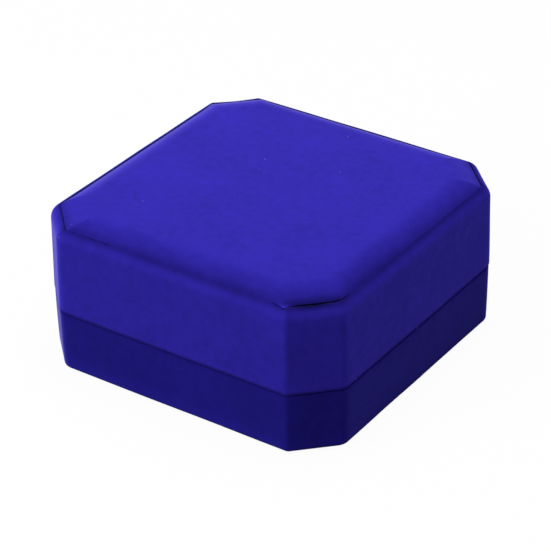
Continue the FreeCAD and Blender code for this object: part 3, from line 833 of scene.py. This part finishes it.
class CASE_OT_base_cover(bpy.types.Operator):
    """Velvet over the base, with a rounded foot and a turn-in at its rim"""
    bl_idname = "case.base_cover"
    bl_label = "Base cover"

    def execute(self, context):
        size = sizes()
        under, rim = BASE_LOW.z, BASE_HIGH.z
        foot = under - size.foot_hang
        pile, roll, fold = size.pile, size.foot_roll, size.fold_round
        top = HALF_CASE - BASE_HIGH.x - size.base_proud
        low = top + size.base_draft
        rise = rim - fold - foot - roll
        shares = [step / BULGE_STEPS for step in range(1, BULGE_STEPS)]
        bulge = [(top + size.base_draft * (1 - share) ** 2.2, foot + roll + rise * share)
                 for share in shares]
        inside = HALF_CASE - BASE_HIGH.x + 2 * pile + size.wall
        heel = HALF_CASE - PANEL_HIGH.x - size.heel_gap
        turned_under = low + size.turn_under
        profile = [
            (turned_under, under + pile),
            (turned_under, under),
            *turned((heel, under), (heel - size.foot_hang, foot)),
            *turned_down((low + roll, foot), (low, foot + roll), 8),
            *bulge,
            *turned((top, rim - fold), (top + fold, rim)),
            *turned_down((inside - fold, rim), (inside, rim - fold)),
            (inside, rim - size.turn_in),
            (inside - pile, rim - size.turn_in),
            (inside - pile, rim - pile),
            (top + pile, rim - pile),
            (low + pile, foot + roll),
            (low + roll, foot + pile),
            (heel, under + pile),
        ]
        outline = case_outline(size.edge_round)
        piece = shaped("base_cover", rings_of(outline, profile, size.waver), closed=True)
        hinge_mouth(piece, HINGE_AXIS.z - size.hinge_notch, rim + size.turn_in,
                    rim - size.turn_in - fold, rim + size.turn_in)

        # Painted shade under the foot and at the front corner, and a painted highlight on a band along the
        # front above the foot
        def base_shade_and_highlight(point):
            nap = painted_lights()
            frontward = clamped(-(point.y + 0.3 * point.x) / FRONT_RUN)
            shaded_foot = nap.foot_shade * max(1 - (point.z - foot) / (1.2 * roll), 0)
            at_corner = nap.base_corner_shade * cut_share(point) if by_front_corner(point) else 0
            brushed_tone_and_highlight = nap.base_band_highlight * frontward * fading(point.z - foot - roll, BAND_REACH)
            return brushed_tone_and_highlight - shaded_foot - at_corner

        lay_painted_light(piece, base_shade_and_highlight)
        return dress(piece, "dark_velvet", "base", "velvet", "base_velvet")


CUSHION_ROUND = 0.7 * MM
SEAT_EASE = 0.4 * MM
EAR_REACH = 1.9 * MM
TIP_REACH = 1.4 * MM
EAR_LIGHT_REACH = 1.1 * MM

# Shares of the swell still to come, and of the height, up the cushion's side
CUSHION_SIDES = ((0.8, 0.75), (0.4, 0.95))


class CASE_OT_top_cushion(bpy.types.Operator):
    """Padded panel in the lid's recess, rolled along its sides and crisp across the cut corners"""
    bl_idname = "case.top_cushion"
    bl_label = "Top cushion"

    def execute(self, context):
        size = sizes()
        cut_insets = (size.snug, size.snug, size.snug, size.slit)
        outline = inner_outline(CUSHION_HIGH.x + size.cushion_swell, CUSHION_ROUND, cut_insets)
        ears = outline.corner(6, 0), outline.corner(7, 0)
        over_slit = size.slit * Vector((1, -1)).normalized()

        def eared(points):
            return [point + over_slit * fading((ears[0] - point).length, EAR_REACH) for point in points]

        loop = eared(outline.loop())
        top = CUSHION_HIGH.z - size.stuffing

        def level(point):
            side, end, cut = outline.inside(point)
            drop = size.ear_drop + (size.cushion_drop - size.ear_drop) * eased(end / size.ear_run)
            along_side = rolled(side, size.cushion_roll, drop)
            across_cut = rolled(cut, size.cut_roll, size.cut_drop)
            tip = size.ear_tip * max(fading((ear - point).length, TIP_REACH) for ear in ears)
            return top - max(along_side, across_cut) + tip

        def place(ring, turn):
            point = part_way(loop, turn) * spread(ring)
            return Vector((*point, level(point)))

        # Painted shade at the cushion's edge, deeper in the slit at the front corner, and on its rolled
        # front; the ear over the slit is made lighter
        def shaded(point):
            nap = painted_lights()
            side, _, cut = outline.inside(point)
            inset = min(side, cut)
            ear_brightening = nap.brighter_ear * fading((ears[0] + over_slit - point.xy).length, EAR_LIGHT_REACH)
            frontward = clamped((0.5 * point.x - point.y) / FRONT_RUN)
            front_shade = nap.cushion_front_shade * frontward * max(1 - inset / size.cushion_roll, 0)
            at_slit = by_front_corner(point) and cut < side
            depth = nap.cushion_slit_shadow if at_slit else nap.cushion
            return ear_brightening - front_shade - depth * fading(inset, size.crease_reach)

        edge = [Vector((*point, level(point))) for point in loop]
        seat = ring_of(outline.loop(size.cushion_swell + SEAT_EASE), CUSHION_LOW.z)
        rings = [seat]
        for swell_left, height in CUSHION_SIDES:
            inner = eared(outline.loop(swell_left * size.cushion_swell))
            rings.append([Vector((*point, low.z + (high.z - low.z) * height))
                          for point, low, high in zip(inner, seat, edge)])
        rings.append(edge)
        piece = shaped("top_cushion", rings, cap=True, fill=place)
        stuffed(piece, 3.0, size.stuffing, len(rings) * LOOP_STEPS)
        lay_painted_light(piece, shaded)
        piece.data.transform(Matrix.Translation((size.cushion_shift, -size.cushion_shift, 0)))
        dress(piece, "blue_velvet", "lid", "velvet", "top_velvet", "top_wadding", "top_board",
              fold=CUSHION_FOLD)
        return {"FINISHED"}


class CASE_OT_under_panel(bpy.types.Operator):
    """Covered panel under the base, which the case stands on"""
    bl_idname = "case.under_panel"
    bl_label = "Under panel"

    def execute(self, context):
        size = sizes()
        fold = size.fold_round
        outline = inner_outline(PANEL_HIGH.x, size.corner_round)
        low, high = PANEL_LOW.z, PANEL_HIGH.z
        rings = rings_of(outline, [
            (size.turn_under, low),
            *turned_down((fold, low), (0, low + fold)),
            (0, high),
        ])
        flat = outline.loop(size.turn_under)

        def place(ring, turn):
            return Vector((*(part_way(flat, turn) * ring), low))

        piece = shaped("under_panel", rings[::-1], cap=True, fill=place)
        return dress(piece, "dark_velvet", "base", "velvet", "base_panel")


class CASE_OT_collar_cover(bpy.types.Operator):
    """Velvet over the collar that stands up in the base, with a window for the hinge's leaf"""
    bl_idname = "case.collar_cover"
    bl_label = "Collar cover"

    def execute(self, context):
        size = sizes()
        pile = size.pile
        low, top, turn = COLLAR_LOW.z, COLLAR_HIGH.z, BASE_HIGH.z - size.turn_in
        thick = 2 * pile + size.wall
        roll = thick / 2
        profile = [
            (0, turn),
            *turned((0, top - roll), (roll, top)),
            *turned_down((roll, top), (thick, top - roll))[1:],
            (thick, low),
            (thick - pile, low),
            (thick - pile, top - roll),
            (thick / 2, top - pile),
            (pile, top - roll),
            (pile, turn),
        ]
        outline = inner_outline(COLLAR_HIGH.x, size.corner_round)
        piece = shaped("collar_cover", rings_of(outline, profile, size.waver / 2), closed=True)
        across = LEAF_HIGH.x + size.hinge_side
        leaf_top = HINGE_AXIS.z - size.fold_round
        cut_box(piece, (-across, COLLAR_HIGH.y - pile, low), (across, HALF_CASE, leaf_top))
        return dress(piece, "blue_velvet", "base", "velvet", "collar_velvet")


class CASE_OT_insert_cover(bpy.types.Operator):
    """Velvet over the loose insert board"""
    bl_idname = "case.insert_cover"
    bl_label = "Insert cover"

    def execute(self, context):
        size = sizes()
        pile, fold = size.pile, size.fold_round
        low, high = INSERT_LOW.z, INSERT_HIGH.z
        outline = inner_outline(INSERT_HIGH.x, size.corner_round)
        rings = rings_of(outline, [
            (pile, high - pile), (pile, low), (0, low), *turned((0, high - fold), (fold, high)),
        ])
        flat = outline.loop(fold)

        def place(ring, turn):
            point = part_way(flat, turn) * spread(ring)
            return Vector((*point, high)) + strayed(Vector((*point, high)), size.waver) * (1 - ring)

        piece = shaped("insert_cover", rings, cap=True, fill=place)
        return dress(piece, "blue_velvet", "insert", "velvet", "insert_velvet")


PILLOW_ROUND = 7 * MM
PILLOW_EASE = 0.4 * MM

# Shares of the pillow's height, and how far in its sides lie there, in millimetres
PILLOW_SIDES = ((0, 1.4), (0.12, 0.4), (0.28, 0), (0.45, 0.15), (0.6, 0.6), (0.72, 1.5), (0.8, 2.6))


class CASE_OT_bangle_pillow(bpy.types.Operator):
    """Eight-sided velvet pillow on the insert, which a bangle lies round"""
    bl_idname = "case.bangle_pillow"
    bl_label = "Bangle pillow"

    def execute(self, context):
        size = sizes()
        half = PILLOW_HIGH.x - PILLOW_EASE
        outline = Outline(half, half - size.pillow_side / 2, (PILLOW_ROUND,) * 8)
        low = PILLOW_LOW.z
        height = PILLOW_HIGH.z - low - size.pillow_stuffing
        rings = rings_of(outline, [(inset * MM, low + share * height) for share, inset in PILLOW_SIDES])
        shoulder, inset = PILLOW_SIDES[-1]
        loop = outline.loop(inset * MM)

        def place(ring, turn):
            outward = spread(ring)
            rise = shoulder + (1 - shoulder) * (1 - outward ** 2.6)
            return Vector((*(part_way(loop, turn) * outward), low + height * rise))

        piece = shaped("bangle_pillow", rings, cap=True, fill=place)
        stuffed(piece, 4.0, size.pillow_stuffing, 2 * LOOP_STEPS)
        dress(piece, "blue_velvet", "insert", "velvet", "pillow_velvet", "pillow_core",
              fold=CUSHION_FOLD)
        return {"FINISHED"}


PAD_ROLL = 2.4 * MM
PAD_CROWN = 0.35
CROWN_RUN = 9 * MM
GATHERS = 61
GATHER_STRAY = 9 * MM
GATHER_RUN = 5 * MM
GATHER_START = 1.5 * MM


class CASE_OT_lid_lining(bpy.types.Operator):
    """Satin band round the lid's walls, and the padded satin panel under its roof"""
    bl_idname = "case.lid_lining"
    bl_label = "Lid lining"

    def execute(self, context):
        self.band()
        self.pad()
        return {"FINISHED"}

    def band(self):
        size = sizes()
        thick = BAND_HIGH.x - PAD_HIGH.x - 0.25 * MM
        low, high = BAND_LOW.z, BAND_HIGH.z
        roll = thick / 2
        profile = [
            (0, high),
            *turned((0, low + roll), (roll, low)),
            *turned_down((roll, low), (thick, low + roll))[1:],
            *straight((thick, low + roll), (thick, high), 6),
            (thick, high),
        ]
        outline = inner_outline(BAND_HIGH.x, size.corner_round)
        piece = shaped("lid_band", rings_of(outline, profile, size.waver), closed=True)
        dress(piece, "ivory_satin", "lid", "satin", "liner_band")

    def pad(self):
        size = sizes()
        outline = inner_outline(PAD_HIGH.x - 0.1 * MM, size.corner_round)
        loop = outline.loop()
        depth = PAD_HIGH.z - PAD_LOW.z - size.pad_stuffing - size.gather

        def level(point, turn):
            inset = outline.from_edge(point)
            crown = PAD_CROWN * depth * (1 - math.exp(-inset / CROWN_RUN))
            stray = noise.noise(Vector((*point, 0)) / GATHER_STRAY)
            folds = math.sin(turn * 2 * math.pi * GATHERS + 3 * stray)
            gather = size.gather * folds * math.exp(-inset / GATHER_RUN) * eased(inset / GATHER_START)
            flat = PAD_HIGH.z - (1 - PAD_CROWN) * depth
            return flat - crown + rolled(inset, PAD_ROLL, 0.4 * depth) + gather

        def place(ring, turn):
            point = part_way(loop, turn) * spread(ring)
            return Vector((*point, level(point, turn)))

        edge = [Vector((*point, level(point, step / LOOP_STEPS))) for step, point in enumerate(loop)]
        rings = [ring_of(outline.loop(0.3 * MM), PAD_HIGH.z), edge]
        piece = shaped("lid_pad", rings, cap=True, fill=place)
        stuffed(piece, 3.0, size.pad_stuffing, len(rings) * LOOP_STEPS)
        dress(piece, "ivory_satin", "lid", "satin", "liner_satin", "liner_wadding", fold=CUSHION_FOLD)


class CASE_OT_hidden_pieces(bpy.types.Operator):
    """Finishes of the shells, the boards and the hinge, whose shapes come from the frame"""
    bl_idname = "case.hidden_pieces"
    bl_label = "Shells, boards and hinge"

    def execute(self, context):
        finishes = {
            "black_moulding": ("base_shell", "lid_shell"),
            "grey_board": ("collar_board", "insert_board", "liner_board"),
            "dull_nickel": ("hinge_base_leaf", "hinge_lid_leaf", "hinge_pin", "hinge_spring",
                            "hinge_base_rivets", "hinge_lid_rivets"),
        }
        for finish, nodes in finishes.items():
            for node in nodes:
                materials = frame["nodes"][node].data.materials
                materials.clear()
                materials.append(finished(finish))
        return {"FINISHED"}


LAMP_WIDTH = 0.5
FLOOR_REACH = 20.0
FLOOR_WHITE = 0.95
SENSOR_WIDTH = 36
WHITE = (1, 1, 1, 1)


class CASE_OT_stage(bpy.types.Operator):
    """Floor, surroundings, lamps and camera"""
    bl_idname = "case.stage"
    bl_label = "Stage"

    def execute(self, context):
        scene = context.scene
        stage = scene.case_stage
        scene.view_settings.view_transform = "Standard"
        self.floor(stage)
        self.surroundings(scene, stage)
        target = Vector((0, 0, stage.target_height))
        right = Vector((math.cos(stage.azimuth), math.sin(stage.azimuth), 0))
        back = Vector((-math.sin(stage.azimuth), math.cos(stage.azimuth), 0))
        up = Vector((0, 0, 1))
        self.lamp("key_lamp", stage.key, target, -0.78 * right - 0.38 * back + 0.38 * up)
        self.lamp("overhead_lamp", stage.overhead, target, up)
        self.camera(scene, stage, target)
        return {"FINISHED"}

    def floor(self, stage):
        mesh = bpy.data.meshes.new("floor")
        ends = (-1, -1), (1, -1), (1, 1), (-1, 1)
        corners = [(across * FLOOR_REACH, along * FLOOR_REACH, 0) for across, along in ends]
        mesh.from_pydata(corners, [], [(0, 1, 2, 3)])
        floor = added("floor", mesh)
        finish = Finish(bpy.data.materials.new("floor"))
        seen = finish.seen()
        shade = finish.mixed(seen, (*stage.floor, 1), WHITE)
        matt = finish.node("BsdfDiffuse", {}, {"Color": shade})
        white = finish.node("Emission", {}, {"Strength": 1.0})
        both = finish.node("MixShader", {}, {0: FLOOR_WHITE * seen, 1: matt, 2: white})
        mesh.materials.append(finish.ends("Material", both))

    def surroundings(self, scene, stage):
        finish = Finish(bpy.data.worlds.new("surroundings"))
        light = finish.node("Background", {}, {"Color": WHITE, "Strength": stage.ambient})
        white = finish.node("Background", {}, {"Color": WHITE, "Strength": 1.0})
        both = finish.node("MixShader", {}, {0: finish.seen(), 1: light, 2: white})
        scene.world = finish.ends("World", both)

    def lamp(self, name, power, target, offset):
        lamp = bpy.data.lights.new(name, "AREA")
        lamp.energy = power
        lamp.size = LAMP_WIDTH
        holder = added(name, lamp)
        holder.location = target + offset
        holder.rotation_euler = (-offset).to_track_quat("-Z", "Y").to_euler()

    def camera(self, scene, stage, target):
        camera = bpy.data.cameras.new("camera")
        camera.sensor_width = SENSOR_WIDTH
        camera.lens = stage.lens
        camera.shift_x, camera.shift_y = stage.shift_x, stage.shift_y
        camera.clip_start, camera.clip_end = stage.distance / 50, stage.distance * 50
        holder = added("camera", camera)
        level = math.cos(stage.elevation)
        across, along = math.sin(stage.azimuth) * level, -math.cos(stage.azimuth) * level
        away = Vector((across, along, math.sin(stage.elevation)))
        holder.location = target + away * stage.distance
        facing = (-away).to_track_quat("-Z", "Y") @ Quaternion((0, 0, 1), stage.roll)
        holder.rotation_euler = facing.to_euler()
        scene.camera = holder


# Panel and registration

GROUPS = {
    "case_sizes": CaseSizes, "case_colours": CaseColours, "case_nap": CasePaintedLight, "case_stage": CaseStage,
}
PIECES = (
    CASE_OT_lid_cover, CASE_OT_base_cover, CASE_OT_top_cushion, CASE_OT_under_panel,
    CASE_OT_collar_cover, CASE_OT_insert_cover, CASE_OT_bangle_pillow, CASE_OT_lid_lining,
    CASE_OT_hidden_pieces, CASE_OT_stage,
)


class CASE_PT_pieces(bpy.types.Panel):
    """Lists the operators that make the case"""
    bl_idname = "CASE_PT_pieces"
    bl_label = "Jewellery case"
    bl_space_type = "VIEW_3D"
    bl_region_type = "UI"
    bl_category = "Case"

    def draw(self, context):
        for piece in PIECES:
            self.layout.operator(piece.bl_idname)


def register():
    for item in (*GROUPS.values(), *PIECES, CASE_PT_pieces):
        bpy.utils.register_class(item)
    for name, group in GROUPS.items():
        setattr(bpy.types.Scene, name, bpy.props.PointerProperty(type=group))


def unregister():
    for name in GROUPS:
        delattr(bpy.types.Scene, name)
    for item in reversed((*GROUPS.values(), *PIECES, CASE_PT_pieces)):
        bpy.utils.unregister_class(item)


def main():
    register()
    bpy.ops.case.lid_cover()
    bpy.ops.case.base_cover()
    bpy.ops.case.top_cushion()
    bpy.ops.case.under_panel()
    bpy.ops.case.collar_cover()
    bpy.ops.case.insert_cover()
    bpy.ops.case.bangle_pillow()
    bpy.ops.case.lid_lining()
    bpy.ops.case.hidden_pieces()
    bpy.ops.case.stage()


if __name__ == "__main__":
    main()
